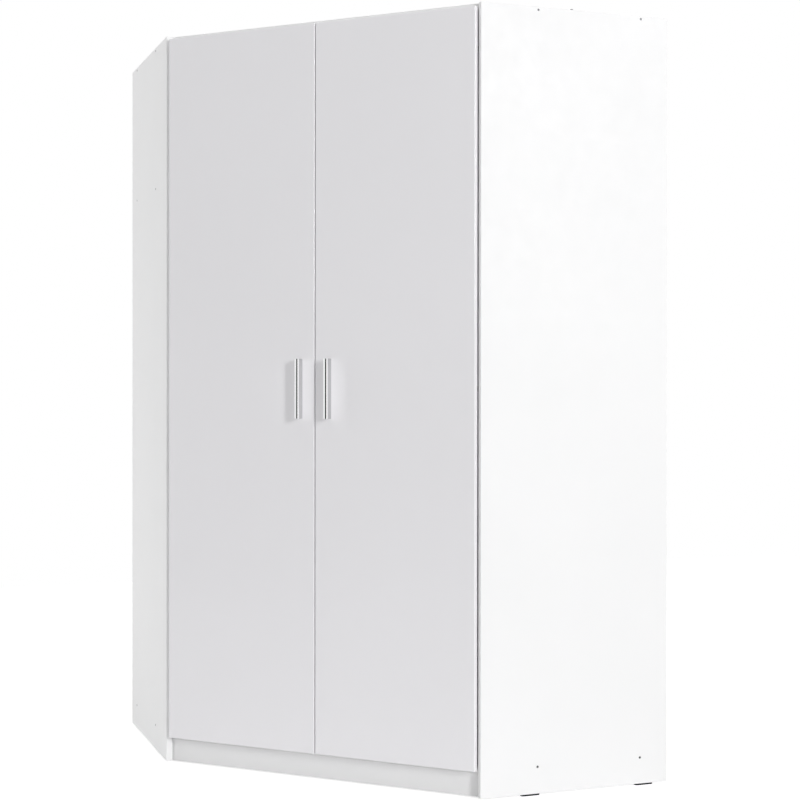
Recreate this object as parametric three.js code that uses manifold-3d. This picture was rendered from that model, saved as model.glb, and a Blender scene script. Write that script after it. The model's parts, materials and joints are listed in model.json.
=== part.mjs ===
// Corner wardrobe with two hinged doors across the diagonal of a room corner.
// Millimetres, +Z up. The origin lies on the floor, in the middle of the square that the wardrobe stands in.
// The left wall of the room is at -X and the right wall at +Y, as seen by somebody who faces the doors.

import * as THREE from 'three';
import { mergeVertices } from 'three/addons/utils/BufferGeometryUtils.js';
import Module from 'manifold-3d';

const wasm = await Module();
wasm.setup();

// Carcass
const wallWidth = 1170;
const bodyHeight = 1970;
const sideDepth = 520;
const boardThickness = 16;
const fit = 0.3;
const overrun = 1;

// Base
const glideHeight = 4;
const glideLength = 52;
const glideFrontDistance = 137;
const glideRearDistance = 64;
const baseHeight = 63;
const plinthSetback = 0.5;
const plinthEndGap = 2.5;

// Back
const backThickness = 3;
const backRecess = 1.5;
const backTopInset = 2;
const backSheetGap = 1;
const stripWidth = 22;
const stripFlange = 1;
const stripEndGap = 1;
const postWidth = 80;

// Inside
const hatSpace = 371;
const hatShelfSetback = 20;
const hatShelfRearGap = 2;
const shelfCount = 4;
const shelfSetback = 10;
const shelfEndGap = 0.8;
const shelfPinRadius = 2.5;
const shelfPinHoleDepth = 10;
const shelfPinInset = 45;
const shelfPinPitch = 32;

// Clothes rail, an upright oval tube
const railDistance = 290;
const railDrop = 55;
const railEndDistance = 300;
const railHeight = 30;
const railWidth = 15;
const railWall = 1.2;
const railHolderWall = 3;
const railHolderDepth = 12;
const railHolderBase = 3;
const railFootLength = 70;
const railFootWidth = 22;

// Screws through the side panels, and the plugs in their top edges
const screwFrontDistance = 155;
const screwRearDistance = 77;
const screwLength = 50;
const screwShankRadius = 2;
const screwHeadRadius = 3;
const screwHeadHeight = 3;
const screwSocketRadius = 1.6;
const screwSocketDepth = 2;
const screwRecess = 0.5;
const plugDistance = 250;
const plugRadius = 5;
const plugDepth = 12;
const plugProud = 3;

// Doors
const doorThickness = 18;
const doorBackGap = 1.3;
const doorEdgeInset = 12.5;
const doorEdgeRadius = 2.5;
const doorGap = 2.5;
const doorBottomLap = 8;
const doorTopDrop = 10;
const doorSwing = THREE.MathUtils.degToRad(100);

// Handles
const handleLength = 155;
const handleWidth = 12;
const handleProjection = 19;
const handleGrooveWidth = 3.5;
const handleGrooveDepth = 2.5;
const handleInset = 40.75;

// Hinges
const hingesPerDoor = 3;
const hingeEndDistance = 100;
const cupRadius = 17.5;
const cupEdgeDistance = 3.5;
const cupWall = 1.2;
const cupFloor = 1;
const cupFlangeThickness = 1.2;
const cupFlangeHeight = 62;
const cupFlangeOverhang = 4;
const doorSkin = 5;
const pinRadius = 1.5;
const pinFromWall = 5.3;
const eyeWall = 1.4;
const armThickness = 3;
const armSweepClearance = 2;
const boardSweepClearance = 1;
const armFlangeThickness = 1.2;
const armFlangeDepth = 6;
const armTail = 4;
const plateSetback = 20;
const plateLength = 42;
const plateHeight = 50;
const plateThickness = 2.5;

// Facets of round pieces
const arrisFacets = 3;
const coarseFacets = 12;
const middleFacets = 16;
const fineFacets = 32;

// Places that follow from the sizes
const half = wallWidth / 2;
const innerHalf = half - boardThickness;
const rearPlane = half - backRecess - backThickness - fit;
const frontLength = (wallWidth - sideDepth) * Math.SQRT2;
const panelLine = boardThickness / Math.SQRT2;
const innerFrontHalf = frontLength / 2 - panelLine;
const floorTop = baseHeight + boardThickness;
const ceiling = bodyHeight - boardThickness;
const hatShelfBottom = ceiling - hatSpace - boardThickness;
const screwPlaces = [screwFrontDistance, sideDepth - screwRearDistance];
const railX = -rearPlane + railDistance;
const railZ = hatShelfBottom - railDrop;
const railStart = -innerHalf + railHolderBase + 2 * fit;
const railEnd = rearPlane - railEndDistance;

const doorWidth = (frontLength - doorGap) / 2 - doorEdgeInset;
const doorBottom = floorTop - doorBottomLap;
const doorTop = bodyHeight - doorTopDrop;
const doorBack = panelLine - doorBackGap;
const doorFront = doorBack - doorThickness;
const doorMiddle = (doorBottom + doorTop) / 2;

const boreDepth = doorThickness - doorSkin;
const cupDepth = boreDepth - fit;
const cupInnerRadius = cupRadius - cupWall;
const eyeRadius = pinRadius + fit + eyeWall;
const pinDepth = cupDepth - cupFloor - fit - eyeRadius;
const pinInset = cupEdgeDistance + cupWall + pinFromWall;
const pinX = frontLength / 2 - doorEdgeInset - pinInset;
const pinY = doorBack - pinDepth;
const cupOffset = cupEdgeDistance + cupRadius - pinInset;

// The boards' front edges lie behind the arc of the doors' rear corners; frontOffset is x - y along them
const doorCornerRadius = Math.hypot(pinInset, Math.max(pinDepth, doorThickness - pinDepth));
const boardFront = Math.max(panelLine, pinY + doorCornerRadius + boardSweepClearance);
const frontOffset = sideDepth - boardFront * Math.SQRT2;
const partitionRight = frontOffset / 2;
const partitionLeft = partitionRight - boardThickness;

// Materials
function finish(color, roughness, metalness) {
  return new THREE.MeshStandardMaterial({ color, roughness, metalness });
}

const whiteBoard = finish(0xf2f2f3, 0.5, 0);
const whiteGloss = finish(0xe9e9eb, 0.08, 0);
const whiteHardboard = finish(0xe6e5e2, 0.7, 0);
const aluminium = finish(0xc9cacc, 0.3, 1);
const steel = finish(0xb4b5b8, 0.25, 1);
const blackPlastic = finish(0x1c1c1d, 0.6, 0);

// Shapes
function outline(points) {
  return new THREE.Shape(points.map(([x, y]) => new THREE.Vector2(x, y)));
}

function prism(shape, low, high) {
  const settings = { depth: high - low, bevelEnabled: false, curveSegments: coarseFacets };
  return new THREE.ExtrudeGeometry(shape, settings).translate(0, 0, low);
}

function block([x0, x1], [y0, y1], [z0, z1]) {
  const box = new THREE.BoxGeometry(x1 - x0, y1 - y0, z1 - z0);
  return box.translate((x0 + x1) / 2, (y0 + y1) / 2, (z0 + z1) / 2);
}

// An oval with straight long sides, its length along the outline's y
function oval(width, length) {
  const radius = width / 2;
  const straight = length / 2 - radius;
  const shape = new THREE.Shape();
  shape.absarc(0, straight, radius, 0, Math.PI, false);
  shape.absarc(0, -straight, radius, Math.PI, 2 * Math.PI, false);
  return shape;
}

// A strip of even thickness along a bent line, with mitred corners and square ends
function ribbon(line, thickness) {
  const points = line.map(([x, y]) => new THREE.Vector2(x, y));
  const sides = points.slice(1).map((point, i) => {
    const along = point.clone().sub(points[i]).normalize();
    return new THREE.Vector2(-along.y, along.x);
  });
  const offset = (point, i, distance) => {
    const before = sides[Math.max(i - 1, 0)];
    const after = sides[Math.min(i, sides.length - 1)];
    const mitre = before.clone().add(after).normalize();
    return point.clone().addScaledVector(mitre, distance / mitre.dot(after));
  };
  const left = points.map((point, i) => offset(point, i, thickness / 2));
  const right = points.map((point, i) => offset(point, i, -thickness / 2));
  return new THREE.Shape([...left, ...right.reverse()]);
}

function rod(radius, length, facets = coarseFacets) {
  return new THREE.CylinderGeometry(radius, radius, length, facets);
}

// Joins and cuts
function toSolid(geometry) {
  const bare = geometry.clone();
  bare.deleteAttribute('normal');
  bare.deleteAttribute('uv');
  const merged = mergeVertices(bare);
  return new wasm.Manifold(new wasm.Mesh({
    numProp: 3,
    vertProperties: new Float32Array(merged.attributes.position.array),
    triVerts: new Uint32Array(merged.index.array),
  }));
}

function toGeometry(solid) {
  const mesh = solid.getMesh();
  const geometry = new THREE.BufferGeometry();
  geometry.setAttribute('position', new THREE.BufferAttribute(mesh.vertProperties, mesh.numProp));
  geometry.setIndex(new THREE.BufferAttribute(mesh.triVerts, 1));
  geometry.computeVertexNormals();
  return geometry;
}

function join(...pieces) {
  return toGeometry(pieces.map(toSolid).reduce((whole, piece) => whole.add(piece)));
}

function cut(base, ...tools) {
  return toGeometry(tools.map(toSolid).reduce((whole, tool) => whole.subtract(tool), toSolid(base)));
}

// A slab whose edges are rounded on the side of low y and square on the other
function roundedSlab([x0, x1], [y0, y1], [z0, z1], radius) {
  const settings = {
    depth: y1 - y0 - radius,
    bevelThickness: radius,
    bevelSize: radius,
    bevelOffset: -radius,
    bevelSegments: arrisFacets,
  };
  const face = outline([[x0, z0], [x1, z0], [x1, z1], [x0, z1]]);
  const slab = new THREE.ExtrudeGeometry(face, settings).rotateX(Math.PI / 2).translate(0, y1, 0);
  return cut(slab, block([x0 - overrun, x1 + overrun], [y1, y1 + radius + overrun], [z0 - overrun, z1 + overrun]));
}

// Scene graph: the front group has its x along the doors and its -y out of the room corner
const wardrobe = new THREE.Group();
const front = new THREE.Group();
front.position.set(sideDepth / 2, -sideDepth / 2, 0);
front.rotation.z = Math.PI / 4;
wardrobe.add(front);

function place(parent, name, geometry, material, x = 0, y = 0, z = 0) {
  const mesh = new THREE.Mesh(geometry, material);
  mesh.name = name;
  mesh.position.set(x, y, z);
  parent.add(mesh);
  return mesh;
}

// The plan between the side panels: a square with its front corner cut off along the diagonal.
// A board that the corner post passes has a notch for it in its rear corner.
function planOutline(frontLine, right, rear, notched) {
  const side = innerHalf - fit;
  const notchX = -rearPlane + boardThickness + fit;
  const notchY = rearPlane - postWidth - fit;
  const rearCorner = notched ? [[notchX, rear], [notchX, notchY], [-rear, notchY]] : [[-rear, rear]];
  return outline([
    [frontLine - side, -side],
    [right, right - frontLine],
    [right, rear],
    ...rearCorner,
    [-rear, -side],
  ]);
}

// Screws run in from the outside of a side panel into the edge of the board behind it
function screwGeometry() {
  const head = screwRecess + screwHeadHeight;
  const socketFloor = screwRecess + screwSocketDepth;
  const profile = [
    [0, socketFloor],
    [screwSocketRadius, socketFloor],
    [screwSocketRadius, screwRecess],
    [screwHeadRadius, screwRecess],
    [screwHeadRadius, head],
    [screwShankRadius, head],
    [screwShankRadius, screwLength],
    [0, screwLength],
  ];
  return new THREE.LatheGeometry(profile.map(([r, y]) => new THREE.Vector2(r, y)), coarseFacets);
}

function screwCuts() {
  const headDepth = screwRecess + screwHeadHeight + fit;
  const shankDepth = screwLength + fit;
  return [
    rod(screwHeadRadius + fit, headDepth + overrun).translate(0, (headDepth - overrun) / 2, 0),
    rod(screwShankRadius + fit, shankDepth + overrun).translate(0, (shankDepth - overrun) / 2, 0),
  ];
}

// Turns a shape that points into the left panel to the same place on the left or right panel
function ontoPanel(geometry, panel, distance, z) {
  if (panel === 'left') return geometry.translate(-half + sideDepth - distance, -half, z);
  return geometry.rotateZ(Math.PI / 2).translate(half, half - sideDepth + distance, z);
}

function panelScrewCuts(panel, levels) {
  return levels.flatMap((z) => screwPlaces.flatMap(
    (distance) => screwCuts().map((tool) => ontoPanel(tool, panel, distance, z)),
  ));
}

const bottomLevel = baseHeight + boardThickness / 2;
const topLevel = bodyHeight - boardThickness / 2;
const hatLevel = hatShelfBottom + boardThickness / 2;
const screwLevels = {
  left: { bottom: bottomLevel, middle: hatLevel, top: topLevel },
  right: { bottom: bottomLevel, top: topLevel },
};

function addScrews() {
  for (const [panel, levels] of Object.entries(screwLevels)) {
    for (const [level, z] of Object.entries(levels)) {
      screwPlaces.forEach((distance, i) => {
        const end = i === 0 ? 'front' : 'rear';
        place(wardrobe, `screw_${panel}_${level}_${end}`, ontoPanel(screwGeometry(), panel, distance, z), steel);
      });
    }
  }
}

// Shelves behind the right door, and the rows of pin holes that let them move up or down one step
const shelfFront = half - sideDepth + shelfSetback;
const shelfRear = rearPlane - hatShelfRearGap;
const shelfPinRows = [shelfFront + shelfPinInset, shelfRear - shelfPinInset];

function shelfBottom(i) {
  return floorTop + (i * (ceiling - floorTop)) / (shelfCount + 1) - boardThickness / 2;
}

function shelfPinHoles(face, inward) {
  const holes = [];
  for (let i = 1; i <= shelfCount; i += 1) {
    for (const step of [-1, 0, 1]) {
      for (const y of shelfPinRows) {
        const hole = rod(shelfPinRadius, shelfPinHoleDepth + overrun).rotateZ(Math.PI / 2);
        const x = face + (inward * (shelfPinHoleDepth - overrun)) / 2;
        holes.push(hole.translate(x, y, shelfBottom(i) - shelfPinRadius + step * shelfPinPitch));
      }
    }
  }
  return holes;
}

function addShelves() {
  for (let i = 1; i <= shelfCount; i += 1) {
    const spanX = [partitionRight + shelfEndGap, innerHalf - shelfEndGap];
    const spanZ = [shelfBottom(i), shelfBottom(i) + boardThickness];
    place(wardrobe, `shelf_${i}`, block(spanX, [shelfFront, shelfRear], spanZ), whiteBoard);
  }
}

// Carcass boards
function addSidePanels() {
  const spanZ = [glideHeight, bodyHeight];
  const across = [-half, -innerHalf];
  const plugMiddle = boardThickness / 2;
  const plugHole = () => rod(plugRadius + fit, plugDepth + fit + overrun, middleFacets)
    .rotateX(Math.PI / 2)
    .translate(0, plugMiddle, bodyHeight - (plugDepth + fit - overrun) / 2);
  const left = cut(
    block([-half, -half + sideDepth], across, spanZ),
    ...panelScrewCuts('left', Object.values(screwLevels.left)),
    ontoPanel(plugHole(), 'left', plugDistance, 0),
  );
  const right = cut(
    block([innerHalf, half], [half - sideDepth, half], spanZ),
    ...panelScrewCuts('right', Object.values(screwLevels.right)),
    ontoPanel(plugHole(), 'right', plugDistance, 0),
    ...shelfPinHoles(innerHalf, 1),
  );
  place(wardrobe, 'side_panel_left', left, whiteBoard);
  place(wardrobe, 'side_panel_right', right, whiteBoard);
}

function addPlugs() {
  const profile = [
    [0, -plugDepth],
    [plugRadius, -plugDepth],
    [plugRadius, plugProud / 2],
    [plugRadius / 2, plugProud],
    [0, plugProud],
  ];
  for (const panel of ['left', 'right']) {
    const plug = new THREE.LatheGeometry(profile.map(([r, y]) => new THREE.Vector2(r, y)), middleFacets);
    plug.rotateX(Math.PI / 2).translate(0, boardThickness / 2, bodyHeight);
    place(wardrobe, `edge_plug_${panel}`, ontoPanel(plug, panel, plugDistance, 0), blackPlastic);
  }
}

function addPlanBoards() {
  const side = innerHalf - fit;
  const bothPanels = (level) => [...panelScrewCuts('left', [level]), ...panelScrewCuts('right', [level])];
  const top = prism(planOutline(frontOffset, side, rearPlane, false), ceiling, bodyHeight);
  const bottom = prism(planOutline(frontOffset, side, rearPlane, true), baseHeight, floorTop);
  place(wardrobe, 'top_board', cut(top, ...bothPanels(topLevel)), whiteBoard);
  place(wardrobe, 'bottom_board', cut(bottom, ...bothPanels(bottomLevel)), whiteBoard);

  const hatLine = frontOffset - hatShelfSetback * Math.SQRT2;
  const hatOutline = planOutline(hatLine, partitionLeft - fit, rearPlane - hatShelfRearGap, true);
  const hat = prism(hatOutline, hatShelfBottom, hatShelfBottom + boardThickness);
  place(wardrobe, 'hat_shelf', cut(hat, ...panelScrewCuts('left', [hatLevel])), whiteBoard);
}

function addPartition() {
  const upright = block(
    [partitionLeft, partitionRight],
    [partitionRight - frontOffset, rearPlane],
    [floorTop + fit, ceiling - fit],
  );
  place(wardrobe, 'partition', cut(upright, ...shelfPinHoles(partitionRight, -1)), whiteBoard);
}

function addPlinth() {
  const reach = innerFrontHalf - plinthEndGap;
  const face = boardFront + plinthSetback;
  const plinth = block([-reach, reach], [face, face + boardThickness], [glideHeight, baseHeight - fit]);
  place(front, 'plinth', plinth, whiteBoard);
}

function addCornerPost() {
  const spanX = [-rearPlane, -rearPlane + boardThickness];
  const spanY = [rearPlane - postWidth, rearPlane];
  place(wardrobe, 'corner_post', block(spanX, spanY, [glideHeight, ceiling - fit]), whiteBoard);
}

// Thin back sheets lie between the side panels and the corner, behind the boards' rear edges
function addBack() {
  const inner = rearPlane + fit;
  const outer = inner + backThickness;
  const spanZ = [baseHeight, bodyHeight - backTopInset];
  const sheetEnd = innerHalf - fit;
  const stripWeb = stripFlange / 2 + fit;
  const leftSpans = [[-sheetEnd, -stripWeb], [stripWeb, inner - fit]];
  leftSpans.forEach((spanY, i) => {
    place(wardrobe, `back_left_${i + 1}`, block([-outer, -inner], spanY, spanZ), whiteHardboard);
  });
  const joint = (partitionLeft + partitionRight) / 2;
  const rightSpans = [[-outer, joint - backSheetGap / 2], [joint + backSheetGap / 2, sheetEnd]];
  rightSpans.forEach((spanX, i) => {
    place(wardrobe, `back_right_${i + 1}`, block(spanX, [inner, outer], spanZ), whiteHardboard);
  });

  const stripZ = [floorTop + stripEndGap, ceiling - stripEndGap];
  const stripY = [-stripWidth / 2, stripWidth / 2];
  const strip = join(
    block([-outer - fit - stripFlange, -outer - fit], stripY, stripZ),
    block([-outer - fit - stripFlange, -inner + fit + stripFlange], [-stripFlange / 2, stripFlange / 2], stripZ),
    block([-inner + fit, -inner + fit + stripFlange], stripY, stripZ),
  );
  place(wardrobe, 'back_joint_strip', strip, whiteBoard);
}

// Glides carry the panels and the corner post
function addGlides() {
  const long = oval(boardThickness, glideLength);
  const glide = () => prism(long, 0, glideHeight - fit);
  const middle = half - boardThickness / 2;
  const places = { front: glideFrontDistance, rear: sideDepth - glideRearDistance };
  for (const [end, distance] of Object.entries(places)) {
    const along = -half + sideDepth - distance;
    place(wardrobe, `glide_left_${end}`, glide().rotateZ(Math.PI / 2), blackPlastic, along, -middle);
    place(wardrobe, `glide_right_${end}`, glide(), blackPlastic, middle, -along);
  }
  const postX = -rearPlane + boardThickness / 2;
  const postY = rearPlane - postWidth / 2;
  place(wardrobe, 'glide_corner', glide(), blackPlastic, postX, postY);
}

// Clothes rail: its y runs along the rail, and its holders grip it round the outside
function railTube(width, height, wall, length) {
  const shape = oval(width, height);
  shape.holes.push(oval(width - 2 * wall, height - 2 * wall));
  return prism(shape, 0, length).rotateX(Math.PI / 2).translate(0, length, 0);
}

function addRail() {
  const tube = railTube(railWidth, railHeight, railWall, railEnd - railStart);
  place(wardrobe, 'clothes_rail', tube, aluminium, railX, railStart, railZ);

  const holderWidth = railWidth + 2 * (railHolderWall + fit);
  const holderHeight = railHeight + 2 * (railHolderWall + fit);
  const collar = () => railTube(holderWidth, holderHeight, railHolderWall, railHolderDepth);
  const disc = () => prism(oval(holderWidth, holderHeight), 0, railHolderBase).rotateX(Math.PI / 2);

  const socket = join(disc().translate(0, railHolderBase, 0), collar().translate(0, railHolderBase - fit, 0));
  place(wardrobe, 'rail_socket', socket, steel, railX, -innerHalf + fit, railZ);

  const headTop = hatShelfBottom - fit - railZ;
  const stem = [headTop - railHolderBase, headTop];
  const footX = [-railFootWidth / 2, railFootWidth / 2];
  const hanger = join(
    disc().translate(0, railHolderBase + fit, 0),
    collar().translate(0, fit * 2 - railHolderDepth, 0),
    block([-holderWidth / 2, holderWidth / 2], [fit, railHolderBase + fit], [railHeight / 2, headTop]),
    block(footX, [-railFootLength / 2, railFootLength / 2], stem),
  );
  place(wardrobe, 'rail_hanger', hanger, steel, railX, railEnd, railZ);
}

// Doors, handles and hinges; side is -1 for the left door and 1 for the right one
const sides = { left: -1, right: 1 };
const hingeHeights = Array.from({ length: hingesPerDoor }, (_, i) => {
  const share = i / (hingesPerDoor - 1);
  return THREE.MathUtils.lerp(doorBottom + hingeEndDistance, doorTop - hingeEndDistance, share);
});

function addDoor(name, side) {
  const x = (side * (doorWidth + doorGap)) / 2;
  const cupX = side * (pinX - cupOffset);
  const bores = hingeHeights.map((z) => rod(cupRadius + fit, boreDepth + overrun, fineFacets)
    .translate(cupX - x, doorBack - (boreDepth - overrun) / 2, z));
  const width = [-doorWidth / 2, doorWidth / 2];
  const slab = roundedSlab(width, [doorFront, doorBack], [doorBottom, doorTop], doorEdgeRadius);
  place(front, `door_${name}`, cut(slab, ...bores), whiteGloss, x);
}

function addHandle(name, side) {
  const edge = handleWidth / 2;
  const groove = handleGrooveWidth / 2;
  const section = outline([
    [-edge, 0],
    [-edge, -handleProjection],
    [-groove, -handleProjection],
    [-groove, handleGrooveDepth - handleProjection],
    [groove, handleGrooveDepth - handleProjection],
    [groove, -handleProjection],
    [edge, -handleProjection],
    [edge, 0],
  ]);
  const x = side * (doorGap / 2 + handleInset);
  const bar = prism(section, -handleLength / 2, handleLength / 2);
  place(front, `handle_${name}`, bar, aluminium, x, doorFront - fit, doorMiddle);
}

function cupBowl() {
  const rim = fit + cupFlangeThickness;
  const profile = [
    [0, -cupDepth],
    [cupRadius, -cupDepth],
    [cupRadius, rim],
    [cupInnerRadius, rim],
    [cupInnerRadius, cupFloor - cupDepth],
    [0, cupFloor - cupDepth],
  ];
  return new THREE.LatheGeometry(profile.map(([r, y]) => new THREE.Vector2(r, y)), fineFacets);
}

// The flange lies on the door's back, and the pin crosses the bowl near the wall that faces the side panel
function addCup(name, side, z) {
  const flangeShape = oval(2 * (pinFromWall + cupWall + cupFlangeOverhang), cupFlangeHeight);
  const flange = prism(flangeShape, 0, cupFlangeThickness).rotateX(-Math.PI / 2).translate(0, fit, 0);
  const hollowDepth = cupDepth - cupFloor;
  const hollow = rod(cupInnerRadius, hollowDepth + 2 * overrun, fineFacets);
  hollow.translate(0, overrun - hollowDepth / 2, 0);
  const reach = Math.sqrt(cupInnerRadius ** 2 - cupOffset ** 2) + cupWall / 2;
  const pin = rod(pinRadius, 2 * reach).rotateX(Math.PI / 2).translate(side * cupOffset, -pinDepth, 0);
  const shell = toSolid(cupBowl()).add(toSolid(flange)).subtract(toSolid(hollow)).add(toSolid(pin));
  place(front, name, toGeometry(shell), steel, side * (pinX - cupOffset), doorBack, z);
}

// Hinge places measured from the pin, with x towards the side panel and y into the wardrobe
const panelCorner = new THREE.Vector2(innerFrontHalf - pinX, panelLine - pinY);
const armRun = doorCornerRadius + armSweepClearance + armThickness / 2;
const armOff = armRun + (panelCorner.x - panelCorner.y) / Math.SQRT2;
const swingLean = doorSwing - Math.PI / 2;
const mouthHeight = pinDepth + fit + cupFlangeThickness;
const mouthReach = mouthHeight * Math.tan(swingLean) + armThickness / 2 / Math.cos(swingLean);
const armReach = cupOffset + Math.max(eyeRadius, mouthReach) + fit;
const cupClearRadius = cupInnerRadius * Math.cos(Math.PI / fineFacets);
const armHalfWidth = Math.sqrt(cupClearRadius ** 2 - armReach ** 2) - fit;

// A point so far back along the side panel's inner face, and so far off that face
function besidePanel(side, along, off) {
  return [
    side * (panelCorner.x + (along - off) / Math.SQRT2),
    panelCorner.y + (along + off) / Math.SQRT2,
  ];
}

function besideBlock(side, [along0, along1], [off0, off1], halfHeight) {
  const corners = [[along0, off0], [along1, off0], [along1, off1], [along0, off1]];
  return prism(outline(corners.map(([along, off]) => besidePanel(side, along, off))), -halfHeight, halfHeight);
}

function addArm(name, side, z) {
  const knee = -(armRun - armThickness / 2);
  const plateEnd = plateSetback + plateLength;
  const line = [
    [0, 0],
    [side * knee, 0],
    [side * knee, armRun * Math.SQRT2 + knee],
    besidePanel(side, plateEnd + armTail, armOff),
  ];
  const strap = prism(ribbon(line, armThickness), -armHalfWidth, armHalfWidth);
  const eye = rod(eyeRadius, 2 * armHalfWidth).rotateX(Math.PI / 2);
  const hole = rod(pinRadius + fit, 2 * (armHalfWidth + overrun)).rotateX(Math.PI / 2);
  const offSpan = [armOff - armThickness / 2 - armFlangeDepth, armOff];
  const cheek = besideBlock(side, [plateSetback, plateEnd + armTail], offSpan, armHalfWidth);
  const channel = besideBlock(
    side,
    [plateSetback - overrun, plateEnd + armTail + overrun],
    [offSpan[0] - overrun, armOff - armThickness / 2],
    armHalfWidth - armFlangeThickness,
  );
  const cheeks = toSolid(cheek).subtract(toSolid(channel));
  const arm = toSolid(strap).add(cheeks).add(toSolid(eye)).subtract(toSolid(hole));
  place(front, name, toGeometry(arm), steel, side * pinX, pinY, z);
}

function addPlate(name, side, z) {
  const spanAlong = [plateSetback, plateSetback + plateLength];
  const ridgeTop = armOff - armThickness / 2 - fit;
  const ridgeHalf = armHalfWidth - armFlangeThickness - fit;
  const plate = join(
    besideBlock(side, spanAlong, [fit, fit + plateThickness], plateHeight / 2),
    besideBlock(side, spanAlong, [fit, ridgeTop], ridgeHalf),
  );
  place(front, name, plate, steel, side * pinX, pinY, z);
}

addSidePanels();
addPlanBoards();
addPartition();
addShelves();
addPlinth();
addCornerPost();
addBack();
addGlides();
addScrews();
addPlugs();
addRail();
for (const [name, side] of Object.entries(sides)) {
  addDoor(name, side);
  addHandle(name, side);
  hingeHeights.forEach((z, i) => {
    addCup(`hinge_cup_${name}_${i + 1}`, side, z);
    addArm(`hinge_arm_${name}_${i + 1}`, side, z);
    addPlate(`hinge_plate_${name}_${i + 1}`, side, z);
  });
}

export default wardrobe;
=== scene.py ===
"""The looks of the corner wardrobe: camera, studio, materials, softened edges and small fittings."""

import json
import math

import bmesh
import bpy
from mathutils import Matrix, Vector


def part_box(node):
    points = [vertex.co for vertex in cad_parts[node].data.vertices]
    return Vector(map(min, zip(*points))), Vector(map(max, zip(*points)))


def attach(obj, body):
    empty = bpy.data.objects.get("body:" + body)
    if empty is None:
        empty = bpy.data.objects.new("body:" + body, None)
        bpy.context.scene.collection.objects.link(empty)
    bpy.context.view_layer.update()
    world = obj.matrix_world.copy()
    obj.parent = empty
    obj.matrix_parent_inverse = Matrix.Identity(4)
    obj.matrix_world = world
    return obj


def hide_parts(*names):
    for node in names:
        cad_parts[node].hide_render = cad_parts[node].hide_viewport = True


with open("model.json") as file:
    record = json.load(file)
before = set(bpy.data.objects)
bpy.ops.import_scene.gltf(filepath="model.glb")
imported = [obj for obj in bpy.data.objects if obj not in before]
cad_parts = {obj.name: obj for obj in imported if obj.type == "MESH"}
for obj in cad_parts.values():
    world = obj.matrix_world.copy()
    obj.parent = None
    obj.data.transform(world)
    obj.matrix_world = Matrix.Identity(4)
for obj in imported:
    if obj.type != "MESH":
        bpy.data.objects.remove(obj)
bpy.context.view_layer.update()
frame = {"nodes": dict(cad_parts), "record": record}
nodes = frame["nodes"]

# Directions: the two walls' axes, along the doors to the right, out of the room corner, and up
X_AXIS = Vector((1, 0, 0))
Y_AXIS = Vector((0, 1, 0))
ALONG = Vector((1, 1, 0)).normalized()
OUTWARD = Vector((1, -1, 0)).normalized()
INTO = -OUTWARD
UP = Vector((0, 0, 1))

SIDES = ("left", "right")
HINGES = (1, 2, 3)

# For each side panel: the way off its inner face, and the way to its front end
PANEL_WAYS = {"left": (Y_AXIS, X_AXIS), "right": (-X_AXIS, -Y_AXIS)}

# The two screws of a pair, one above the other
SCREW_PAIR = (("lower", -1), ("upper", 1))


def span(node, way, keep=None):
    """Lowest and highest place of a CAD node's corners along a direction."""
    corners = [v.co for v in nodes[node].data.vertices]
    if keep:
        corners = [c for c in corners if keep(c)]
    places = [c.dot(way) for c in corners]
    return min(places), max(places)


def middle(node, way):
    return sum(span(node, way)) / 2


# Camera: worked out from the photograph's corners, in metres and degrees
CAMERA_PLACE = (4.112, -1.4212, 1.019)
CAMERA_AZIMUTH = 69.825
CAMERA_PITCH = -0.171
CAMERA_ROLL = 0.046
FRAME_WIDTH = 800
FOCAL_PIXELS = 1552.0
CENTRE_PIXEL = (408.3, 392.1)
SENSOR_WIDTH = 36.0


def add_camera():
    data = bpy.data.cameras.new("camera")
    data.sensor_width = SENSOR_WIDTH
    data.lens = FOCAL_PIXELS / FRAME_WIDTH * SENSOR_WIDTH
    data.shift_x = (FRAME_WIDTH / 2 - CENTRE_PIXEL[0]) / FRAME_WIDTH
    data.shift_y = (CENTRE_PIXEL[1] - FRAME_WIDTH / 2) / FRAME_WIDTH
    camera = bpy.data.objects.new("camera", data)
    turn = Matrix.Rotation(math.radians(CAMERA_AZIMUTH), 4, "Z")
    tilt = Matrix.Rotation(math.radians(90 + CAMERA_PITCH), 4, "X")
    roll = Matrix.Rotation(math.radians(CAMERA_ROLL), 4, "Z")
    camera.matrix_world = Matrix.Translation(CAMERA_PLACE) @ turn @ tilt @ roll
    bpy.context.scene.collection.objects.link(camera)
    bpy.context.scene.camera = camera


# Node trees
NOISE_LOW = 0.3
NOISE_HIGH = 0.7

# A mix node's first input, second input and output by number, for each kind of value
MIX_SOCKETS = {"FLOAT": (2, 3, 0), "RGBA": (6, 7, 2)}


def new_tree(name):
    material = bpy.data.materials.new(name)
    material.use_nodes = True
    tree = material.node_tree
    return material, tree, tree.nodes["Principled BSDF"]


def add_node(tree, kind, inputs=None, **settings):
    """A shader node with its inputs set or linked by name or number."""
    node = tree.nodes.new(kind)
    for key, value in settings.items():
        setattr(node, key, value)
    for key, value in (inputs or {}).items():
        if isinstance(value, bpy.types.NodeSocket):
            tree.links.new(value, node.inputs[key])
        else:
            node.inputs[key].default_value = value
    return node


def object_places(tree, stretch=(1, 1, 1)):
    """Places on the object in metres, each axis multiplied by its stretch."""
    source = add_node(tree, "ShaderNodeTexCoord").outputs["Object"]
    return add_node(tree, "ShaderNodeMapping", {"Vector": source, "Scale": stretch}).outputs[0]


def noise(tree, places, scale, detail):
    inputs = {"Vector": places, "Scale": scale, "Detail": detail}
    return add_node(tree, "ShaderNodeTexNoise", inputs).outputs["Fac"]


def spread(tree, value, low, high):
    """A noise, which keeps near its middle, spread out between low and high."""
    inputs = {"Value": value, "From Min": NOISE_LOW, "From Max": NOISE_HIGH, "To Min": low, "To Max": high}
    return add_node(tree, "ShaderNodeMapRange", inputs).outputs[0]


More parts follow.
